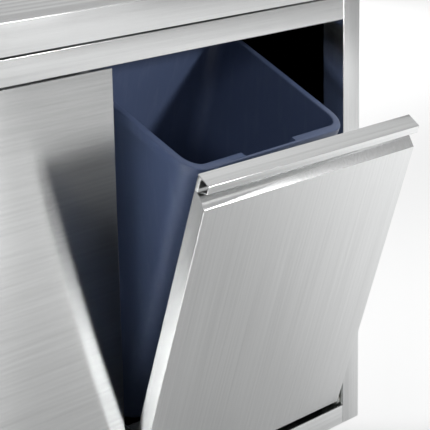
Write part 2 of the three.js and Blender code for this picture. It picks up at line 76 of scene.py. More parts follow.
def deselect() -> None:
    """Leaves no object selected."""
    bpy.ops.object.select_all(action="DESELECT")


def pick(piece: bpy.types.Object) -> None:
    """Makes a piece the only selected object and the active one."""
    deselect()
    piece.select_set(True)
    bpy.context.view_layer.objects.active = piece


@contextmanager
def editing(piece: bpy.types.Object) -> Iterator[None]:
    """Edit mode on one piece, with nothing of its mesh selected at the start."""
    pick(piece)
    bpy.ops.object.mode_set(mode="EDIT")
    bpy.ops.mesh.select_mode(type="FACE")
    bpy.ops.mesh.select_all(action="DESELECT")
    try:
        yield
    finally:
        bpy.ops.object.mode_set(mode="OBJECT")


def select_faces(piece: bpy.types.Object, wanted: Callable[[bmesh.types.BMFace], bool]) -> int:
    """Selects the faces that pass a test, and nothing else.

    Args:
        piece: The piece in edit mode.
        wanted: Says whether a face is selected.

    Returns:
        How many faces are selected.
    """
    bpy.ops.mesh.select_all(action="DESELECT")
    bpy.ops.mesh.select_mode(type="FACE")
    mesh = bmesh.from_edit_mesh(piece.data)
    chosen = [face for face in mesh.faces if wanted(face)]
    for face in chosen:
        face.select_set(True)
    bmesh.update_edit_mesh(piece.data)
    return len(chosen)


def select_edges(piece: bpy.types.Object, wanted: Callable[[bmesh.types.BMEdge], bool]) -> int:
    """Selects the edges that pass a test, and nothing else.

    Args:
        piece: The piece in edit mode.
        wanted: Says whether an edge is selected.

    Returns:
        How many edges are selected.
    """
    bpy.ops.mesh.select_all(action="DESELECT")
    bpy.ops.mesh.select_mode(type="EDGE")
    mesh = bmesh.from_edit_mesh(piece.data)
    chosen = [edge for edge in mesh.edges if wanted(edge)]
    for edge in chosen:
        edge.select_set(True)
    bmesh.update_edit_mesh(piece.data)
    return len(chosen)


def faces_up(face: bmesh.types.BMFace) -> bool:
    """Whether a face looks up."""
    return face.normal.z > 0.9


def faces_down(face: bmesh.types.BMFace) -> bool:
    """Whether a face looks down."""
    return face.normal.z < -0.9


def settle(piece: bpy.types.Object) -> None:
    """Puts a piece's place, turn and size into its mesh."""
    pick(piece)
    bpy.ops.object.transform_apply(location=True, rotation=True, scale=True)


def place(piece: bpy.types.Object, where: Matrix) -> None:
    """Puts a piece, modelled at the origin, in its place, with the place in its mesh."""
    piece.matrix_world = where @ piece.matrix_world
    settle(piece)


def new_cube(name: str, low: Sequence[float], high: Sequence[float]) -> bpy.types.Object:
    """Adds a block between two corners as the start of a piece.

    Args:
        name: The piece's name.
        low: The lowest corner.
        high: The highest corner.

    Returns:
        The block.
    """
    deselect()
    middle = (Vector(low) + Vector(high)) / 2
    bpy.ops.mesh.primitive_cube_add(size=1.0, location=middle)
    piece = bpy.context.object
    piece.name = name
    piece.scale = Vector(high) - Vector(low)
    settle(piece)
    return piece


def new_turned(name: str, profile: Sequence[tuple[float, float]], sides: int = 48) -> bpy.types.Object:
    """Turns a piece on the Z axis by drawing one disc through a profile, with both ends closed.

    Args:
        name: The piece's name.
        profile: Radius and height of each ring, from one end to the other.
        sides: How many sides a ring has.

    Returns:
        The piece.
    """
    deselect()
    radius, height = profile[0]
    bpy.ops.mesh.primitive_circle_add(
        vertices=sides, radius=radius, fill_type="NGON", location=(0.0, 0.0, height)
    )
    piece = bpy.context.object
    piece.name = name
    settle(piece)
    with editing(piece):
        bpy.ops.mesh.select_all(action="SELECT")
        for wider, level in profile[1:]:
            bpy.ops.mesh.extrude_region_move(TRANSFORM_OT_translate={"value": (0.0, 0.0, level - height)})
            bpy.ops.transform.resize(value=(wider / radius, wider / radius, 1.0), center_override=(0, 0, 0))
            radius, height = wider, level
        bpy.ops.mesh.select_all(action="SELECT")
        bpy.ops.mesh.normals_make_consistent(inside=False)
    return piece


def join(name: str, *parts: bpy.types.Object) -> bpy.types.Object:
    """Joins pieces that are welded together into one."""
    pick(parts[0])
    for part in parts[1:]:
        part.select_set(True)
    bpy.ops.object.join()
    parts[0].name = name
    return parts[0]


def use_modifier(piece: bpy.types.Object, kind: str, **settings: object) -> None:
    """Adds a modifier, sets it and applies it.

    Args:
        piece: The piece.
        kind: The modifier's type.
        settings: Its settings by name.
    """
    pick(piece)
    modifier = piece.modifiers.new(kind.title(), kind)
    for key, value in settings.items():
        setattr(modifier, key, value)
    bpy.ops.object.modifier_apply(modifier=modifier.name)


def break_edges(piece: bpy.types.Object, width: float, segments: int = 2, angle: float = 38.0) -> None:
    """Rounds every sharp edge of a piece.

    Args:
        piece: The piece.
        width: How wide the rounding is.
        segments: How many facets it has.
        angle: The turn in degrees past which an edge counts as sharp.
    """
    use_modifier(
        piece, "BEVEL", width=width, segments=segments, limit_method="ANGLE", angle_limit=math.radians(angle)
    )


def smooth(piece: bpy.types.Object, angle: float = 32.0) -> None:
    """Shades a piece smooth over edges that turn less than an angle in degrees."""
    pick(piece)
    bpy.ops.object.shade_smooth_by_angle(angle=math.radians(angle))


def copy_of(piece: bpy.types.Object, name: str) -> bpy.types.Object:
    """Copies a piece with a mesh of its own."""
    twin = bpy.data.objects.new(name, piece.data.copy())
    bpy.context.scene.collection.objects.link(twin)
    return twin


def discard(piece: bpy.types.Object) -> None:
    """Removes a master or a cutter that isn't part of the object."""
    bpy.data.objects.remove(piece, do_unlink=True)


# --- Finishes ---------------------------------------------------------------------------------


def linear(code: str) -> tuple[float, float, float, float]:
    """Turns an sRGB hex colour into the linear colour that a shader takes.

    Args:
        code: Six hex digits.

    Returns:
        Red, green, blue and an alpha of 1.
    """
    channels = [int(code[i : i + 2], 16) / 255 for i in (0, 2, 4)]
    curved = [c / 12.92 if c <= 0.04045 else ((c + 0.055) / 1.055) ** 2.4 for c in channels]
    return (curved[0], curved[1], curved[2], 1.0)


Link = bpy.types.NodeSocket


def add_node(
    tree: bpy.types.NodeTree, kind: str, settings: dict | None = None, **inputs: object
) -> bpy.types.Node:
    """Adds a node with its settings, its input values and its links.

    Args:
        tree: The node tree.
        kind: The node's type without its ShaderNode prefix.
        settings: Properties of the node by name.
        inputs: Values or sockets by the input's name with _ for a space, or in0, in1 by place.

    Returns:
        The node.
    """
    node = tree.nodes.new("ShaderNode" + kind)
    for key, value in (settings or {}).items():
        setattr(node, key, value)
    for key, value in inputs.items():
        by_place = key[:2] == "in" and key[2:].isdigit()
        socket = node.inputs[int(key[2:])] if by_place else node.inputs[key.replace("_", " ")]
        if isinstance(value, Link):
            tree.links.new(value, socket)
        else:
            socket.default_value = value
    return node


def new_material(name: str) -> tuple[bpy.types.Material, bpy.types.NodeTree]:
    """Starts a material with an empty node tree."""
    material = bpy.data.materials.new(name)
    material.use_nodes = True
    material.node_tree.nodes.clear()
    return material, material.node_tree


def finish_material(tree: bpy.types.NodeTree, shader: bpy.types.Node) -> None:
    """Links a shader to the material's output."""
    add_node(tree, "OutputMaterial", Surface=shader.outputs[0])


def noise(tree: bpy.types.NodeTree, point: Link, scale: float, detail: float = 2.0) -> Link:
    """A noise value of a given number of features to the metre at a point."""
    return add_node(tree, "TexNoise", Vector=point, Scale=scale, Detail=detail).outputs[0]


def spread(tree: bpy.types.NodeTree, value: Link, low: float, high: float) -> Link:
    """Spreads the middle half of a noise value over a range."""
    return add_node(
        tree, "MapRange", in0=value, in1=0.25, in2=0.75, in3=low, in4=high
    ).outputs[0]


@dataclass(frozen=True)
class BrushedSteel:
    """AISI 304 sheet, belt-ground to a satin finish.

    It gives the eye fine streaks along the grain and a highlight drawn out across it.
    The real lines are about 0.2 mm wide, which is too fine to show, so they are drawn coarser.
    """

    name: str
    grain: Axis
    lean: float = 0.0  # turn of the grain about X in radians
    light: str = "E4E5E5"
    dark: str = "D5D6D6"
    roughness: float = 0.2
    roughness_play: float = 0.025
    anisotropy: float = 0.55
    line_width: float = 0.9 * MM
    line_length: float = 110 * MM
    bump: float = 0.02

    def build(self) -> bpy.types.Material:
        """Makes the material."""
        material, tree = new_material(self.name)
        place_ = add_node(tree, "TexCoord").outputs["Object"]
        turned = add_node(
            tree, "Mapping", {"vector_type": "TEXTURE"}, Vector=place_, Rotation=(self.lean, 0.0, 0.0)
        ).outputs[0]
        lines = self.streaks(tree, turned, self.line_width, self.line_length)
        bands = self.streaks(tree, turned, 4 * self.line_width, 3 * self.line_length)
        clouds = noise(tree, place_, 9.0)
        tone = add_node(
            tree, "Mix", {"data_type": "RGBA"}, in0=spread(tree, bands, 0.0, 1.0),
            in6=linear(self.dark), in7=linear(self.light),
        ).outputs[2]
        fine = spread(tree, lines, -self.roughness_play, self.roughness_play)
        soft = spread(tree, clouds, self.roughness - 0.02, self.roughness + 0.02)
        rough = add_node(tree, "Math", {"operation": "ADD"}, in0=fine, in1=soft).outputs[0]
        relief = add_node(tree, "Bump", Height=lines, Strength=self.bump, Distance=0.1 * MM).outputs[0]
        steel = add_node(
            tree, "BsdfPrincipled", Base_Color=tone, Roughness=rough, Metallic=1.0,
            Anisotropic=self.anisotropy, Normal=relief, Tangent=self.across(tree),
        )
        finish_material(tree, steel)
        return material

    def streaks(self, tree: bpy.types.NodeTree, point: Link, width: float, length: float) -> Link:
        """Noise drawn out along the grain.

        Args:
            tree: The node tree.
            point: The point that it is read at.
            width: How wide a streak is.
            length: How long a streak is.

        Returns:
            The noise value.
        """
        size = [1 / length if along else 1 / width for along in self.grain.value]
        drawn = add_node(tree, "Mapping", Vector=point, Scale=size).outputs[0]
        return noise(tree, drawn, 1.0, 3.0)

    def across(self, tree: bpy.types.NodeTree) -> Link:
        """The direction in the surface across the grain, along which highlights draw out."""
        normal = add_node(tree, "NewGeometry").outputs["Normal"]
        along = Matrix.Rotation(self.lean, 3, "X") @ Vector(self.grain.value)
        return add_node(
            tree, "VectorMath", {"operation": "CROSS_PRODUCT"}, in0=normal, in1=along
        ).outputs[0]


@dataclass(frozen=True)
class ZincPlate:
    """Mild steel, zinc plated and passivated: a satin grey with a faint crystal mottle of about 3 mm."""

    name: str = "zinc_plated_steel"
    light: str = "B9BCBA"
    dark: str = "A2A6A5"
    crystal: float = 3 * MM
    roughness: float = 0.38

    def build(self) -> bpy.types.Material:
        """Makes the material."""
        material, tree = new_material(self.name)
        point = add_node(tree, "TexCoord").outputs["Object"]
        cells = add_node(tree, "TexVoronoi", Vector=point, Scale=1 / self.crystal).outputs["Color"]
        mottle = add_node(tree, "SeparateColor", Color=cells).outputs[0]
        tone = add_node(
            tree, "Mix", {"data_type": "RGBA"}, in0=mottle, in6=linear(self.dark), in7=linear(self.light)
        ).outputs[2]
        rough = add_node(
            tree, "MapRange", in0=mottle, in3=self.roughness - 0.05, in4=self.roughness + 0.07
        ).outputs[0]
        grit = noise(tree, point, 1 / (0.8 * MM), 3.0)
        relief = add_node(tree, "Bump", Height=grit, Strength=0.12, Distance=0.05 * MM).outputs[0]
        plate = add_node(
            tree, "BsdfPrincipled", Base_Color=tone, Roughness=rough, Metallic=1.0, Normal=relief
        )
        finish_material(tree, plate)
        return material


@dataclass(frozen=True)
class Moulded:
    """A moulded plastic or rubber with a fine skin texture and faint handling marks."""

    name: str
    colour: str
    worn: str  # the paler tone that scuffing leaves
    roughness: float
    ior: float
    skin: float = 1.6 * MM  # size of the skin's dimples
    relief: float = 0.06
    wear: float = 0.25  # how much of the worn tone shows at most

    def build(self) -> bpy.types.Material:
        """Makes the material."""
        material, tree = new_material(self.name)
        point = add_node(tree, "TexCoord").outputs["Object"]
        broad = noise(tree, point, 11.0, 4.0)
        scuffs = add_node(tree, "Mapping", Vector=point, Scale=(90.0, 90.0, 12.0)).outputs[0]
        marks = noise(tree, scuffs, 1.0, 6.0)
        worn_share = add_node(
            tree, "MapRange", in0=marks, in1=0.52, in2=0.78, in3=0.0, in4=self.wear
        ).outputs[0]
        tone = add_node(
            tree, "Mix", {"data_type": "RGBA"}, in0=worn_share, in6=linear(self.colour), in7=linear(self.worn)
        ).outputs[2]
        rough = spread(tree, broad, self.roughness - 0.04, self.roughness + 0.06)
        dimples = noise(tree, point, 1 / self.skin)
        bump = add_node(
            tree, "Bump", Height=dimples, Strength=self.relief, Distance=0.15 * MM
        ).outputs[0]
        plastic = add_node(
            tree, "BsdfPrincipled", Base_Color=tone, Roughness=rough, IOR=self.ior, Normal=bump
        )
        finish_material(tree, plastic)
        return material


@dataclass
class Finishes:
    """The finishes of the cabinet, each made once."""

    tilt: float
    made: dict[str, bpy.types.Material] = field(default_factory=dict)

    def __post_init__(self) -> None:
        """Builds every finish."""
        mill = {"light": "BEC1C3", "dark": "AFB2B5", "roughness": 0.36, "anisotropy": 0.4}
        for maker in (
            BrushedSteel("steel_grain_upright", Axis.Z),
            BrushedSteel("steel_grain_level", Axis.X),
            BrushedSteel("steel_grain_inward", Axis.Y),
            BrushedSteel("steel_grain_front", Axis.Z, lean=self.tilt),
            BrushedSteel("steel_grain_panel", Axis.X, roughness=0.2, anisotropy=1.0, line_length=60 * MM),
            BrushedSteel("steel_mill_inside", Axis.X, **mill),
            BrushedSteel("steel_mill_upright", Axis.Z, **mill),
            BrushedSteel("steel_turned", Axis.X, roughness=0.2, line_width=0.5 * MM, bump=0.1),
            ZincPlate(),
            Moulded("polypropylene_blue", "556486", "76839F", 0.4, 1.49),
            Moulded("rubber_black", "17181A", "2C2D2F", 0.72, 1.52, skin=0.9 * MM, relief=0.15),
            Moulded("polyamide_black", "1C1D1F", "3A3B3D", 0.55, 1.53, skin=0.7 * MM, relief=0.12),
            Moulded("polyamide_natural", "D8D5CA", "C4C0B2", 0.42, 1.53, wear=0.1),
        ):
            self.made[maker.name] = maker.build()

    def __getitem__(self, name: str) -> bpy.types.Material:
        """The finish of that name."""
        return self.made[name]


def dress(piece: bpy.types.Object, material: bpy.types.Material) -> None:
    """Gives a piece one finish all over."""
    piece.data.materials.clear()
    piece.data.materials.append(material)


def hand_over(
    piece: bpy.types.Object, material: bpy.types.Material, body: str, node: str | None = None
) -> None:
    """Finishes a piece: its finish, the body that it moves with and the node it stands for.

    Args:
        piece: The piece, in place.
        material: Its finish.
        body: The CAD body that it moves with.
        node: The CAD node that it stands for, if any.
    """
    dress(piece, material)
    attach(piece, body)
    if node:
        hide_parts(node)
    LOG.info("%s rides on %s, %d faces", piece.name, body, len(piece.data.polygons))


# --- Sheet metal ------------------------------------------------------------------------------


@dataclass
class SheetWork:
    """Folded sheet and tube, remade from the CAD nodes with real folds and broken edges."""

    finishes: Finishes
    fold: float = 1.3 * MM  # outer radius of a fold
    edge: float = 0.3 * MM  # rounding of a cut edge
    sheet: float = 4.0 * MM  # a face narrower than this is the cut edge of a sheet

    def remake(
        self, node: str, body: str, finish: str, slot: str, fold: float | None = None
    ) -> bpy.types.Object:
        """Makes the visible piece of one CAD node.

        Args:
            node: The CAD node.
            body: The body that it moves with.
            finish: The name of its finish.
            slot: Not used.
            fold: The outer radius of its folds, where it isn't the usual one.

        Returns:
            The piece.
        """
        piece = copy_of(frame["nodes"][node], node + "_piece")
        with editing(piece):
            bpy.ops.mesh.select_all(action="SELECT")
            bpy.ops.mesh.remove_doubles(threshold=0.005 * MM)
            bpy.ops.mesh.dissolve_limited(angle_limit=math.radians(0.5))
            if select_edges(piece, self.is_fold):
                bpy.ops.mesh.bevel(offset=fold or self.fold, segments=4, clamp_overlap=True)
            if select_edges(piece, self.is_cut_edge):
                bpy.ops.mesh.bevel(offset=self.edge, segments=2, clamp_overlap=True)
        smooth(piece)
        hand_over(piece, self.finishes[finish], body, node)
        return piece

    def is_fold(self, edge: bmesh.types.BMEdge) -> bool:
        """Whether an edge is an outer corner between two broad faces."""
        broad = [self.width_at(face, edge) > self.sheet for face in edge.link_faces]
        return self.is_sharp(edge) and all(broad)

    def is_cut_edge(self, edge: bmesh.types.BMEdge) -> bool:
        """Whether an edge is an outer corner beside the narrow face of a cut sheet."""
        narrow = [self.width_at(face, edge) <= self.sheet for face in edge.link_faces]
        return self.is_sharp(edge) and any(narrow)

    @staticmethod
    def is_sharp(edge: bmesh.types.BMEdge) -> bool:
        """Whether an edge is convex and turns by more than a facet of a rounded edge does."""
        return edge.is_manifold and edge.is_convex and edge.calc_face_angle(0.0) > math.radians(40)

    @staticmethod
    def width_at(face: bmesh.types.BMFace, edge: bmesh.types.BMEdge) -> float:
        """How wide a face is, measured away from one of its edges."""
        return face.calc_area() / max(edge.calc_length(), 1e-6)


@dataclass
class Cabinet:
    """The fixed steelwork: frame, panels, brackets and stops."""

    work: SheetWork
    body: str = "cabinet"

    def build(self) -> None:
        """Remakes each piece of the fixed steelwork."""
        for row in ("front", "rear"):
            for side in ("left", "right"):
                self.piece(f"post_{row}_{side}", "steel_grain_upright", "upright")
            for level in ("top", "bottom"):
                self.piece(f"rail_{row}_{level}", "steel_grain_level", "level")
        for side in ("left", "right"):
            for level in ("top", "bottom"):
                self.piece(f"rail_{side}_{level}", "steel_grain_inward", "level")
            self.piece(f"side_panel_{side}", "steel_grain_upright", "panel")
            self.piece(f"pivot_bracket_{side}", "zinc_plated_steel", "zinc")
            self.piece(f"closing_stop_{side}", "zinc_plated_steel", "zinc")
            self.piece(f"opening_stop_{side}", "zinc_plated_steel", "zinc")
            self.piece(f"pivot_pin_{side}", "steel_turned", "pin", 0.5 * MM)
            self.piece(f"closing_buffer_{side}", "rubber_black", "rubber", 0.8 * MM)
            self.piece(f"opening_pad_{side}", "rubber_black", "rubber")
            for level in ("lower", "upper"):
                self.piece(f"panel_bracket_{side}_{level}", "zinc_plated_steel", "zinc")
        self.piece("back_panel", "steel_grain_upright", "panel")
        self.piece("floor_panel", "steel_mill_inside", "inner")
        self.piece("divider", "steel_mill_upright", "inner")
        self.piece("front_panel_left", "steel_grain_panel", "front")
        for row in ("front", "rear"):
            self.piece(f"worktop_stiffener_{row}", "zinc_plated_steel", "zinc")

    def piece(self, node: str, finish: str, slot: str, fold: float | None = None) -> None:
        """Remakes one piece on the cabinet."""
        self.work.remake(node, self.body, finish, slot, fold)


@dataclass
class TiltFront:
    """The front that tilts out with its grip bar, its liner and the shelf for the bin."""

    work: SheetWork
    body: str = "tilt_front"

    def build(self) -> None:
        """Remakes each piece of the tilt front."""
        self.work.remake("tilt_front_skin", self.body, "steel_grain_front", "front")
        self.work.remake("grip_bar", self.body, "steel_grain_level", "grip", 0.9 * MM)
        for node in ("tilt_front_liner", "bin_shelf", "bin_locator"):
            self.work.remake(node, self.body, "steel_mill_inside", "inner")
        for side in ("left", "right"):
            self.work.remake(f"hinge_ear_{side}", self.body, "zinc_plated_steel", "zinc")
            self.work.remake(f"pivot_bush_{side}", self.body, "polyamide_natural", "nylon", 0.4 * MM)
            self.work.remake(f"shelf_gusset_{side}", self.body, "steel_mill_inside", "inner")


# --- Legs -------------------------------------------------------------------------------------


@dataclass
class Leg:
    """A tube welded to a flange, over a foot of black plastic that screws out for levelling."""

    finishes: Finishes
    radius: float = 21 * MM
    wall: float = 1.5 * MM
    foot_height: float = 45 * MM
    flange_half: float = 40 * MM
    flange_corner: float = 8 * MM
    flange: float = 3 * MM
    bead: float = 2.2 * MM  # size of the weld bead
    bead_outline: tuple[tuple[float, float], ...] = ((0.0, 1.6), (0.5, 1.2), (1.0, 0.6), (1.3, 0.0))
    cut_edge: float = 0.4 * MM  # rounding of the cut edges

    def build(self) -> None:
        """Models one leg with its foot and copies them to the four corners."""
        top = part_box("leg_front_left")[1].z
        leg = join("leg_master", self.tube(top), self.plate(top))
        foot = self.levelling_foot()
        for row in ("front", "rear"):
            for side in ("left", "right"):
                place_ = f"{row}_{side}"
                low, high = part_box("leg_" + place_)
                middle = (low + high) / 2
                where = Matrix.Translation((middle.x, middle.y, 0.0))
                self.stand(leg, where, "steel_grain_upright", "leg_" + place_)
                self.stand(foot, where, "polyamide_black", "leg_foot_" + place_)
        discard(leg)
        discard(foot)

    def stand(
        self, master: bpy.types.Object, where: Matrix, finish: str, node: str
    ) -> None:
        """Copies a master to a corner and hands the copy over."""
        piece = copy_of(master, node + "_piece")
        place(piece, where)
        hand_over(piece, self.finishes[finish], "cabinet", node)

    def tube(self, top: float) -> bpy.types.Object:
        """The tube, open at its lower end, with the weld bead round its upper end."""
        bore = self.radius - self.wall
        under = top - self.flange
        edge = self.cut_edge
        bead = [
            (self.radius + out * self.bead, under - down * self.bead)
            for out, down in self.bead_outline
        ]
        piece = new_turned("leg_tube", (
            (bore, under - 20 * MM),
            (bore, self.foot_height + edge),
            (bore + edge, self.foot_height),
            (self.radius - edge, self.foot_height),
            (self.radius, self.foot_height + edge),
            *bead,
        ), 64)
        smooth(piece, 50.0)
        return piece

    def plate(self, top: float) -> bpy.types.Object:
        """The square flange with rounded corners."""
        half = self.flange_half
        piece = new_cube("leg_flange", (-half, -half, top - self.flange), (half, half, top))
        with editing(piece):
            select_edges(piece, lambda e: abs((e.verts[0].co - e.verts[1].co).z) > 1 * MM)
            bpy.ops.mesh.bevel(offset=self.flange_corner, segments=6)
        break_edges(piece, self.cut_edge, 2, 60.0)
        smooth(piece)
        return piece

    def levelling_foot(self) -> bpy.types.Object:
        """The foot: a disc on the floor, a threaded neck and the cup that holds it in the tube."""
        bore = self.radius - self.wall - 0.5 * MM
        neck = [
            (radius * MM, height * MM)
            for turn in range(6)
            for radius, height in ((14.0, 16.0 + 2 * turn), (14.0, 16.7 + 2 * turn), (13.1, 17.4 + 2 * turn))
        ]
        piece = new_turned("leg_foot", (
            (21.0 * MM, 0.0),
            (22.2 * MM, 0.3 * MM),
            (24.6 * MM, 2.8 * MM),
            (25.0 * MM, 4.0 * MM),
            (25.0 * MM, 8.2 * MM),
            (24.2 * MM, 9.3 * MM),
            (15.0 * MM, 14.2 * MM),
            *neck,
            (14.0 * MM, 28.4 * MM),
            (19.2 * MM, 29.6 * MM),
            (20.0 * MM, 30.6 * MM),
            (20.0 * MM, self.foot_height - 1.0 * MM),
            (19.4 * MM, self.foot_height - 0.3 * MM),
            (bore, self.foot_height - 0.3 * MM),
            (bore, self.foot_height + 30 * MM),
        ), 64)
        smooth(piece, 40.0)
        return piece


# --- Fasteners --------------------------------------------------------------------------------


class Head(Enum):
    """The kinds of fastener head: shank radius, head radius and head height in metres."""

    HEX_BOLT = (3.0 * MM, 5.6 * MM, 4.0 * MM)
    PAN_SCREW = (2.0 * MM, 3.8 * MM, 2.4 * MM)
    RIVET = (1.6 * MM, 3.2 * MM, 1.1 * MM)


@dataclass(frozen=True)
class Seat:
    """Where a fastener sits: the point under its head, the way its head looks, and its body."""

    point: Vector
    facing: Vector
    body: str


@dataclass
class Fasteners:
    """Bolts, screws and rivets, each kind modelled once and copied to its seats."""

    finishes: Finishes
    tilt: float
    pivot: Vector
    bite: float = 0.6 * MM  # how far a shank reaches into its sheet
    flange: float = 3 * MM  # thickness of a leg's flange
    flange_bolt: float = 29 * MM  # from the leg's middle to its bolts, both ways
    stop_sheet: float = 2 * MM
    stop_bolt: float = 16 * MM  # in front of the rear edge of an opening stop
    bracket_margin: float = 1 * MM  # from a bracket's front to where its screws are measured
    left_screws: tuple[tuple[float, float], ...] = ((52 * MM, 20 * MM), (74 * MM, 20 * MM))
    right_screws: tuple[tuple[float, float], ...] = ((28 * MM, 12 * MM), (28 * MM, 30 * MM))
    stop_screws: tuple[float, float] = (20 * MM, 32 * MM)  # behind a closing stop's front
    rivet_back: float = 4.5 * MM  # from the pivot to the rivets
    rivet_levels: tuple[float, float] = (26 * MM, 42 * MM)  # above the pivot

    def build(self) -> None:
        """Models each kind and puts a copy on every seat."""
        kinds = (
            (Head.HEX_BOLT, self.hex_bolt(), self.bolt_seats()),
            (Head.PAN_SCREW, self.pan_screw(), self.screw_seats()),
            (Head.RIVET, self.rivet(), self.rivet_seats()),
        )
        for kind, master, seats in kinds:
            for i, seat in enumerate(seats):
                piece = copy_of(master, f"{kind.name.lower()}_{i + 1:02d}")
                turn = seat.facing.to_track_quat("Z", "Y").to_matrix().to_4x4()
                place(piece, Matrix.Translation(seat.point) @ turn)
                hand_over(piece, self.finishes["zinc_plated_steel"], seat.body)
            discard(master)

    def hex_bolt(self) -> bpy.types.Object:
        """A hexagon head with its corners turned off, on a washer."""
        shank, radius, height = Head.HEX_BOLT.value
        washer = new_turned("washer", (
            (1.25 * radius, 0.0), (1.3 * radius, 0.1 * MM),
            (1.3 * radius, 0.9 * MM), (1.25 * radius, 1.0 * MM),
        ))
        head = new_turned("hexagon", (
            (radius, 1.0 * MM), (radius, height + 0.5 * MM), (0.86 * radius, height + 1.0 * MM),
        ), 6)
        shaft = new_turned("shaft", ((shank, -self.bite), (shank, 0.2 * MM)), 24)
        return join("hex_bolt_master", washer, head, shaft)

    def pan_screw(self) -> bpy.types.Object:
        """A low domed head with a hexagon socket."""
        shank, radius, height = Head.PAN_SCREW.value
        dome = [
            (radius * math.cos(angle), 0.3 * height + 0.7 * height * math.sin(angle))
            for angle in (math.radians(12 * step) for step in range(6))
        ]
        piece = new_turned("pan_screw_master", ((shank, -self.bite), (shank, 0.0), (radius, 0.0), *dome), 36)
        socket = new_turned("socket", ((0.45 * radius, 0.35 * height), (0.45 * radius, 2 * height)), 6)
        use_modifier(piece, "BOOLEAN", operation="DIFFERENCE", object=socket, solver="EXACT")
        discard(socket)
        smooth(piece)
        return piece

    def rivet(self) -> bpy.types.Object:
        """The flat domed head of a blind rivet with its sunk mandrel."""
        shank, radius, height = Head.RIVET.value
        piece = new_turned("rivet_master", (
            (shank, -self.bite), (shank, 0.0), (radius, 0.0), (radius, 0.25 * height),
            (0.85 * radius, 0.7 * height), (0.55 * radius, height), (0.4 * radius, height),
            (0.32 * radius, 0.6 * height),
        ), 32)
        smooth(piece, 40.0)
        return piece

    def bolt_seats(self) -> list[Seat]:
        """Three bolts under each leg's flange and one in the foot of each opening stop."""
        seats = []
        for row in ("front", "rear"):
            for side in ("left", "right"):
                low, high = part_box(f"leg_{row}_{side}")
                middle = (low + high) / 2
                out_x = math.copysign(self.flange_bolt, middle.x)
                out_y = math.copysign(self.flange_bolt, middle.y)
                under = high.z - self.flange
                for across, along in ((1, 1), (1, -1), (-1, 1)):
                    point = Vector((middle.x + across * out_x, middle.y + along * out_y, under))
                    seats.append(Seat(point, -UP, "cabinet"))
        for side in ("left", "right"):
            low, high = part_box(f"opening_stop_{side}")
            back = high.y - self.stop_bolt
            point = Vector(((low.x + high.x) / 2, back, low.z + self.stop_sheet))
            seats.append(Seat(point, UP, "cabinet"))
        return seats

    def screw_seats(self) -> list[Seat]:
        """Two screws through each pivot bracket and through the left closing stop."""
        seats = []
        for side, inward, screws in (
            ("left", 1.0, self.left_screws), ("right", -1.0, self.right_screws)
        ):
            low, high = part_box(f"pivot_bracket_{side}")
            face = high.x if inward > 0 else low.x
            for back, level in screws:
                point = Vector((face, low.y - self.bracket_margin + back, low.z + level))
                seats.append(Seat(point, Vector((inward, 0, 0)), "cabinet"))
        low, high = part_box("closing_stop_left")
        for back in self.stop_screws:
            point = Vector((low.x + self.stop_sheet, low.y + back, (low.z + high.z) / 2))
            seats.append(Seat(point, Vector((1, 0, 0)), "cabinet"))
        return seats

    def rivet_seats(self) -> list[Seat]:
        """Two rivets through each hinge ear, in the tilted front's own directions."""
        turn = Matrix.Rotation(self.tilt, 3, "X")
        seats = []
        for side, outward in (("left", -1.0), ("right", 1.0)):
            low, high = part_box(f"hinge_ear_{side}")
            face = low.x if outward < 0 else high.x
            for level in self.rivet_levels:
                offset = turn @ Vector((0.0, self.rivet_back, level))
                point = Vector((face, self.pivot.y + offset.y, self.pivot.z + offset.z))
                seats.append(Seat(point, Vector((outward, 0, 0)), "tilt_front"))
        return seats


# --- Worktop ----------------------------------------------------------------------------------


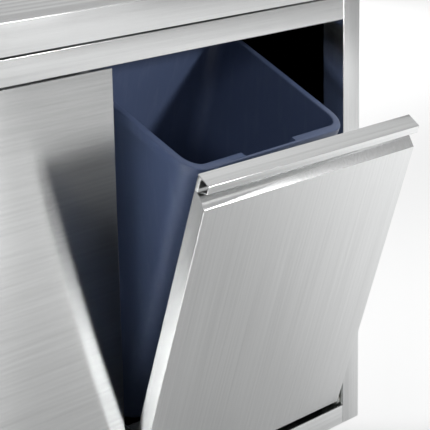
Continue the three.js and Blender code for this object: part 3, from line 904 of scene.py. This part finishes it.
@dataclass
class Worktop:
    """The drained worktop: a deep folded sheet with pressed flutes that run along it."""

    finishes: Finishes
    node: str = "worktop"
    pitch: float = 24.5 * MM
    flutes: int = 21
    first: float = 47 * MM  # middle of the first flute behind the front edge
    mouth: float = 17 * MM
    slope: float = 5.2 * MM
    depth: float = 1.9 * MM
    end: float = 45 * MM  # from the end of a flute to the end of the worktop
    seam: float = 9.4 * MM  # pressed line behind the front edge
    seam_width: float = 1.3 * MM
    skin: float = 4.0 * MM
    sheet: float = 1.5 * MM
    nose: float = 1.4 * MM  # radius of the front edge
    seam_slope: float = 0.4 * MM
    seam_depth: float = 0.5 * MM
    flute_round: float = 2.4 * MM  # radius of a flute's edges

    def build(self) -> None:
        """Models the worktop and hands it over."""
        low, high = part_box(self.node)
        piece = new_cube("worktop_top", low, high)
        with editing(piece):
            self.hollow(piece, high.z)
            self.round_nose(piece, low, high)
            self.cut_lines(low, high)
            self.press(piece, low, high)
            bpy.ops.mesh.select_all(action="SELECT")
            bpy.ops.mesh.dissolve_limited(angle_limit=math.radians(0.3))
        smooth(piece, 28.0)
        hand_over(piece, self.finishes["steel_grain_level"], "cabinet", self.node)

    def hollow(self, piece: bpy.types.Object, top: float) -> None:
        """Opens the block from below down to its sheet."""
        select_faces(piece, faces_down)
        bpy.ops.mesh.inset(thickness=self.sheet, depth=0.0)
        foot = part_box(self.node)[0].z
        bpy.ops.mesh.extrude_region_move(
            TRANSFORM_OT_translate={"value": (0.0, 0.0, top - self.skin - foot)}
        )

    def round_nose(self, piece: bpy.types.Object, low: Vector, high: Vector) -> None:
        """Rounds the four upper and the four upright edges."""

        def outer(edge: bmesh.types.BMEdge) -> bool:
            middle = (edge.verts[0].co + edge.verts[1].co) / 2
            on_side = min(middle.x - low.x, high.x - middle.x, middle.y - low.y, high.y - middle.y)
            return on_side < 0.01 * MM and middle.z > low.z + 1 * MM

        select_edges(piece, outer)
        bpy.ops.mesh.bevel(offset=self.nose, segments=5)

    def cut_lines(self, low: Vector, high: Vector) -> None:
        """Divides the top where flutes and seam begin and end."""
        for i in range(self.flutes):
            middle = low.y + self.first + i * self.pitch
            for y in (middle - self.mouth / 2, middle + self.mouth / 2):
                self.bisect(Axis.Y, y)
        for y in (self.seam, self.seam + self.seam_width):
            self.bisect(Axis.Y, low.y + y)
        for x in (low.x + self.end, high.x - self.end):
            self.bisect(Axis.X, x)

    @staticmethod
    def bisect(axis: Axis, at: float) -> None:
        """Cuts the whole piece by a plane across an axis."""
        bpy.ops.mesh.select_all(action="SELECT")
        normal = Vector(axis.value)
        bpy.ops.mesh.bisect(plane_co=normal * at, plane_no=normal, use_fill=False)

    def press(self, piece: bpy.types.Object, low: Vector, high: Vector) -> None:
        """Presses the flutes and the seam into the top and rounds them."""
        top = high.z - 0.01 * MM

        def in_flute(face: bmesh.types.BMFace) -> bool:
            at = face.calc_center_median()
            place_ = (at.y - low.y - self.first) / self.pitch
            inside = abs(place_ - round(place_)) * self.pitch < self.mouth / 2 and -0.4 < place_
            return inside and faces_up(face) and at.z > top and abs(at.x) < high.x - self.end

        def in_seam(face: bmesh.types.BMFace) -> bool:
            at = face.calc_center_median()
            return faces_up(face) and at.z > top and 0 < at.y - low.y - self.seam < self.seam_width

        def on_flute(edge: bmesh.types.BMEdge) -> bool:
            steep = [face for face in edge.link_faces if 0.2 < face.normal.z < 0.97]
            inside = all(
                self.seam + 10 * MM < v.co.y - low.y < self.first + self.flutes * self.pitch
                and abs(v.co.x) < high.x - self.end / 2
                for v in edge.verts
            )
            return bool(steep) and inside and edge.calc_face_angle(0.0) > math.radians(8)

        select_faces(piece, in_flute)
        bpy.ops.mesh.inset(thickness=self.slope, depth=-self.depth, use_individual=True)
        select_faces(piece, in_seam)
        bpy.ops.mesh.inset(thickness=self.seam_slope, depth=-self.seam_depth)
        select_edges(piece, on_flute)
        bpy.ops.mesh.bevel(offset=self.flute_round, segments=4)


# --- Waste bin --------------------------------------------------------------------------------


@dataclass
class WasteBin:
    """The tapered bin of injection-moulded polypropylene with its sloping rim."""

    finishes: Finishes
    tilt: float
    pivot: Vector
    node: str = "waste_bin"
    behind_pivot: float = 197 * MM
    above_pivot: float = 5.5 * MM
    skew: float = math.radians(1.6)
    width: float = 260 * MM
    depth: float = 190 * MM
    corner: float = 26 * MM
    draft: float = math.radians(3.5)
    wall: float = 3 * MM
    rim_height: float = 428.7 * MM  # of the rim's front edge
    rim_slope: float = math.radians(10)
    rim_width: float = 9 * MM
    rim_drop: float = 15 * MM
    block: float = 560 * MM  # height of the block before the rim is cut
    notch_middle: float = -7 * MM
    notch_half: float = 53 * MM
    notch_depth: float = 9 * MM
    notch_drop: float = 8 * MM
    skirt_inset: float = 2.4 * MM  # thickness of the rim's skirt
    skirt_rise: float = 4 * MM  # height of the hollow behind the skirt
    rim_round: float = 2.2 * MM
    foot_round: float = 5 * MM
    floor_round: float = 8 * MM

    def build(self) -> None:
        """Models the bin at the origin, puts it in its place and hands it over."""
        piece = self.tapered_block()
        with editing(piece):
            self.form_rim(piece)
            self.hollow_out(piece)
            self.round_off(piece)
        self.cut_notch(piece)
        break_edges(piece, 0.7 * MM, 2, 46.0)
        smooth(piece, 36.0)
        place(piece, self.where())
        hand_over(piece, self.finishes["polypropylene_blue"], "bin", self.node)

    def where(self) -> Matrix:
        """The bin's place on the tilted shelf."""
        on_shelf = Matrix.Translation((0.0, self.behind_pivot, self.above_pivot))
        turned = Matrix.Rotation(self.tilt, 4, "X") @ on_shelf @ Matrix.Rotation(self.skew, 4, "Z")
        return Matrix.Translation(self.pivot) @ turned

    def growth(self, height: float) -> float:
        """How far the wall has moved out at a height, from its draft."""
        return height * math.tan(self.draft)

    def rim_front(self) -> float:
        """The rim's front edge in front of the middle."""
        return -(self.depth / 2 + self.growth(self.rim_height) + self.rim_width)

    def rim_normal(self) -> Vector:
        """The direction that the rim's plane looks in."""
        return Matrix.Rotation(self.rim_slope, 3, "X") @ UP

    def above_rim(self, point: Vector) -> float:
        """How far a point lies above the rim's plane."""
        return (point - Vector((0, self.rim_front(), self.rim_height))).dot(self.rim_normal())

    def tapered_block(self) -> bpy.types.Object:
        """The outer form without its rim: a plane with round corners, drawn up with the draft."""
        deselect()
        bpy.ops.mesh.primitive_plane_add(size=1.0)
        piece = bpy.context.object
        piece.name = "bin_shell"
        piece.scale = (self.width, self.depth, 1.0)
        settle(piece)
        grown = self.growth(self.block)
        with editing(piece):
            bpy.ops.mesh.select_all(action="SELECT")
            bpy.ops.mesh.bevel(affect="VERTICES", offset=self.corner, segments=9)
            bpy.ops.mesh.select_all(action="SELECT")
            bpy.ops.mesh.extrude_region_move(
                TRANSFORM_OT_translate={"value": (0.0, 0.0, self.block)}
            )
            bpy.ops.transform.resize(
                value=(1 + 2 * grown / self.width, 1 + 2 * grown / self.depth, 1.0),
                center_override=(0.0, 0.0, 0.0),
            )
            bpy.ops.mesh.select_all(action="SELECT")
            bpy.ops.mesh.normals_make_consistent(inside=False)
        return piece

    def form_rim(self, piece: bpy.types.Object) -> None:
        """Steps the upper part out to the rim's width and cuts it along the rim's slope."""
        normal = self.rim_normal()
        front = Vector((0, self.rim_front(), self.rim_height))
        half = Vector((self.width, self.depth)) / 2 + Vector((1, 1)) * self.growth(self.rim_height)
        bpy.ops.mesh.select_all(action="SELECT")
        bpy.ops.mesh.bisect(plane_co=front - normal * self.rim_drop, plane_no=normal)
        select_faces(piece, lambda f: self.above_rim(f.calc_center_median()) > -self.rim_drop)
        bpy.ops.mesh.extrude_region()
        bpy.ops.transform.resize(
            value=(1 + self.rim_width / half.x, 1 + self.rim_width / half.y, 1.0),
            center_override=(0.0, 0.0, 0.0),
        )
        skirt = self.rim_drop + 3 * MM
        select_faces(piece, lambda f: faces_down(f) and self.above_rim(f.calc_center_median()) > -skirt)
        bpy.ops.mesh.inset(thickness=self.skirt_inset, depth=0.0)
        bpy.ops.mesh.extrude_region_move(
            TRANSFORM_OT_translate={"value": (0.0, 0.0, self.skirt_rise)}
        )
        bpy.ops.mesh.select_all(action="SELECT")
        bpy.ops.mesh.bisect(plane_co=front, plane_no=normal, use_fill=True, clear_outer=True)

    def hollow_out(self, piece: bpy.types.Object) -> None:
        """Sinks the hollow from the rim to the floor, with the wall's draft inside."""
        select_faces(piece, lambda f: abs(self.above_rim(f.calc_center_median())) < 0.05 * MM)
        bpy.ops.mesh.inset(thickness=self.rim_width + self.wall, depth=0.0)
        select_faces(piece, self.is_mouth)
        at_rim = self.mouth_size(piece)
        bpy.ops.mesh.extrude_region()
        inside = Vector((self.width, self.depth)) - Vector((1, 1)) * 2 * self.wall
        bpy.ops.transform.resize(
            value=(inside.x / at_rim.x, inside.y / at_rim.y, 0.0), center_override=(0.0, 0.0, self.wall)
        )

    def is_mouth(self, face: bmesh.types.BMFace) -> bool:
        """Whether a face is the inner one on the rim's plane."""
        on_plane = abs(self.above_rim(face.calc_center_median())) < 0.05 * MM
        return on_plane and face.calc_area() > 0.5 * self.width * self.depth

    @staticmethod
    def mouth_size(piece: bpy.types.Object) -> Vector:
        """Width and depth of the selected face."""
        mesh = bmesh.from_edit_mesh(piece.data)
        points = [v.co for face in mesh.faces if face.select for v in face.verts]
        spans = [max(p[i] for p in points) - min(p[i] for p in points) for i in (0, 1)]
        return Vector(spans)

    def round_off(self, piece: bpy.types.Object) -> None:
        """Rounds the rim, the foot and the floor inside."""

        def on_rim(edge: bmesh.types.BMEdge) -> bool:
            flat = all(abs(self.above_rim(v.co)) < 0.05 * MM for v in edge.verts)
            return flat and edge.calc_face_angle(0.0) > math.radians(50)

        def on_foot(edge: bmesh.types.BMEdge) -> bool:
            return all(v.co.z < 0.1 * MM for v in edge.verts)

        def on_floor(edge: bmesh.types.BMEdge) -> bool:
            return all(abs(v.co.z - self.wall) < 0.1 * MM for v in edge.verts)

        roundings = (
            (on_rim, self.rim_round), (on_foot, self.foot_round), (on_floor, self.floor_round)
        )
        for test, radius in roundings:
            select_edges(piece, test)
            bpy.ops.mesh.bevel(offset=radius, segments=4)

    def cut_notch(self, piece: bpy.types.Object) -> None:
        """Cuts the wide notch in the inner edge of the front rim."""
        inner = self.rim_front() + self.rim_width + self.wall
        low = (self.notch_middle - self.notch_half, inner - self.notch_depth, -self.notch_drop)
        high = (self.notch_middle + self.notch_half, inner + 6 * MM, 20 * MM)
        cutter = new_cube("notch_cutter", low, high)
        with editing(cutter):
            select_edges(cutter, lambda e: abs((e.verts[0].co - e.verts[1].co).z) > 5 * MM)
            bpy.ops.mesh.bevel(offset=2.5 * MM, segments=4)
        place(cutter, Matrix.Translation((0, 0, self.rim_height)))
        use_modifier(piece, "BOOLEAN", operation="DIFFERENCE", object=cutter, solver="EXACT")
        discard(cutter)


# --- Studio -----------------------------------------------------------------------------------


@dataclass(frozen=True)
class AreaLight:
    """A square soft light."""

    name: str
    at: tuple[float, float, float]
    towards: tuple[float, float, float]
    size: float  # side of the square
    power: float  # watts
    fan: float  # angle that the beam fans out by, in degrees

    def build(self) -> None:
        """Adds the light to the studio."""
        data = bpy.data.lights.new(self.name, "AREA")
        data.size = self.size
        data.energy = self.power
        data.spread = math.radians(self.fan)
        lamp = bpy.data.objects.new(self.name, data)
        bpy.context.scene.collection.objects.link(lamp)
        beam = Vector(self.towards) - Vector(self.at)
        lamp.matrix_world = Matrix.Translation(self.at) @ beam.to_track_quat("-Z", "Y").to_matrix().to_4x4()


@dataclass
class Studio:
    """The pale floor, the soft lights and the camera."""

    camera_at: Vector = Vector((-1.3957, -1.6452, 1.1252))
    azimuth: float = math.radians(48.12)  # of the view, from +Y towards +X
    elevation: float = math.radians(15.16)
    roll: float = math.radians(-1.1)
    lens: float = 139.17  # for a sensor 36 mm wide
    world_base: float = 0.07
    world_overhead: float = 0.44  # added straight up
    world_right: float = 0.2  # added on the right
    world_behind: float = 0.3  # added behind on the right

    def build(self) -> None:
        """Sets up floor, lights and camera."""
        self.add_camera()
        self.add_floor()
        self.add_world()
        for light in LIGHTS:
            light.build()

    def add_camera(self) -> None:
        """Adds the camera."""
        data = bpy.data.cameras.new("camera")
        data.sensor_width = 36.0
        data.lens = self.lens
        camera = bpy.data.objects.new("camera", data)
        bpy.context.scene.collection.objects.link(camera)
        level = Matrix.Rotation(-self.azimuth, 4, "Z") @ Matrix.Rotation(math.pi / 2 - self.elevation, 4, "X")
        turn = level @ Matrix.Rotation(self.roll, 4, "Z")
        camera.matrix_world = Matrix.Translation(self.camera_at) @ turn
        bpy.context.scene.camera = camera

    def add_floor(self) -> None:
        """Adds a wide pale floor under the feet."""
        deselect()
        bpy.ops.mesh.primitive_plane_add(size=60.0, location=(0.0, 0.0, -0.0005))
        floor = bpy.context.object
        floor.name = "studio_floor"
        material, tree = new_material("matt_white_floor")
        paint = add_node(tree, "BsdfPrincipled", Base_Color=linear("F4F4F4"), Roughness=0.9)
        finish_material(tree, paint)
        dress(floor, material)

    def add_world(self) -> None:
        """Surrounds the studio with dim light, brighter overhead, on the right and behind."""
        world = bpy.data.worlds.new("studio")
        bpy.context.scene.world = world
        world.use_nodes = True
        tree = world.node_tree
        look = add_node(tree, "TexCoord").outputs["Generated"]
        overhead = self.glow(tree, look, (0.0, 0.0, 1.0), 0.2, self.world_overhead, self.world_base)
        right = self.glow(tree, look, (0.95, -0.3, 0.1), -0.2, self.world_right, 0.0)
        behind = self.glow(tree, look, (0.7, 0.67, 0.25), 0.2, self.world_behind, 0.0)
        sides = add_node(tree, "Math", {"operation": "ADD"}, in0=behind, in1=right).outputs[0]
        strength = add_node(tree, "Math", {"operation": "ADD"}, in0=overhead, in1=sides).outputs[0]
        tree.links.new(strength, tree.nodes["Background"].inputs["Strength"])
        tree.nodes["Background"].inputs["Color"].default_value = (1.0, 1.0, 1.0, 1.0)
        bpy.context.scene.view_settings.view_transform = "Standard"

    @staticmethod
    def glow(
        tree: bpy.types.NodeTree, look: Link, side: Sequence[float], start: float, gain: float, base: float
    ) -> Link:
        """A brightness that grows towards one side.

        Args:
            tree: The world's node tree.
            look: The direction looked in.
            side: The bright side.
            start: The cosine from the bright side at which the growth starts.
            gain: How much it grows by.
            base: The brightness away from the bright side.

        Returns:
            The brightness.
        """
        share = add_node(
            tree, "VectorMath", {"operation": "DOT_PRODUCT"}, in0=look, in1=side
        ).outputs["Value"]
        return add_node(
            tree, "MapRange", in0=share, in1=start, in2=0.9, in3=base, in4=base + gain
        ).outputs[0]


LIGHTS = (
    AreaLight("key_light", (-2.67, -1.76, 1.6), (0.1, 0.0, 0.5), 0.5, 0.38, 30),
    AreaLight("side_light", (2.0, -2.9, 1.45), (0.2, -0.15, 0.68), 0.4, 0.5, 16),
    AreaLight("floor_light_right", (2.3, -0.9, 2.6), (2.3, -0.9, 0.0), 1.6, 8.0, 60),
    AreaLight("floor_light_left", (-0.9, -1.0, 1.6), (-0.7, -0.8, 0.0), 0.5, 12.0, 50),
    AreaLight("floor_light_far", (4.5, -5.0, 4.0), (4.5, -5.0, 0.0), 3.0, 70.0, 120),
    AreaLight("floor_light_behind", (3.5, 3.5, 3.0), (3.5, 3.5, 0.0), 2.5, 48.0, 110),
    AreaLight("back_light", (-0.2, 1.8, 1.8), (0.9, 0.2, 0.0), 0.9, 52.0, 180),
)


# --- The object -------------------------------------------------------------------------------


def main() -> None:
    """Builds the studio and every visible piece."""
    logging.basicConfig(level=logging.INFO, format="%(message)s")
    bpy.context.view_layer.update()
    hinge = next(joint for joint in frame["joints"] if joint["type"] == "hinge")
    tilt = math.radians(-hinge["range_deg"][0])
    pivot = Vector(hinge["pos_m"])
    finishes = Finishes(tilt)
    work = SheetWork(finishes)
    Studio().build()
    Cabinet(work).build()
    TiltFront(work).build()
    Worktop(finishes).build()
    Leg(finishes).build()
    WasteBin(finishes, tilt, pivot).build()
    Fasteners(finishes, tilt, pivot).build()


if __name__ == "__main__":
    main()
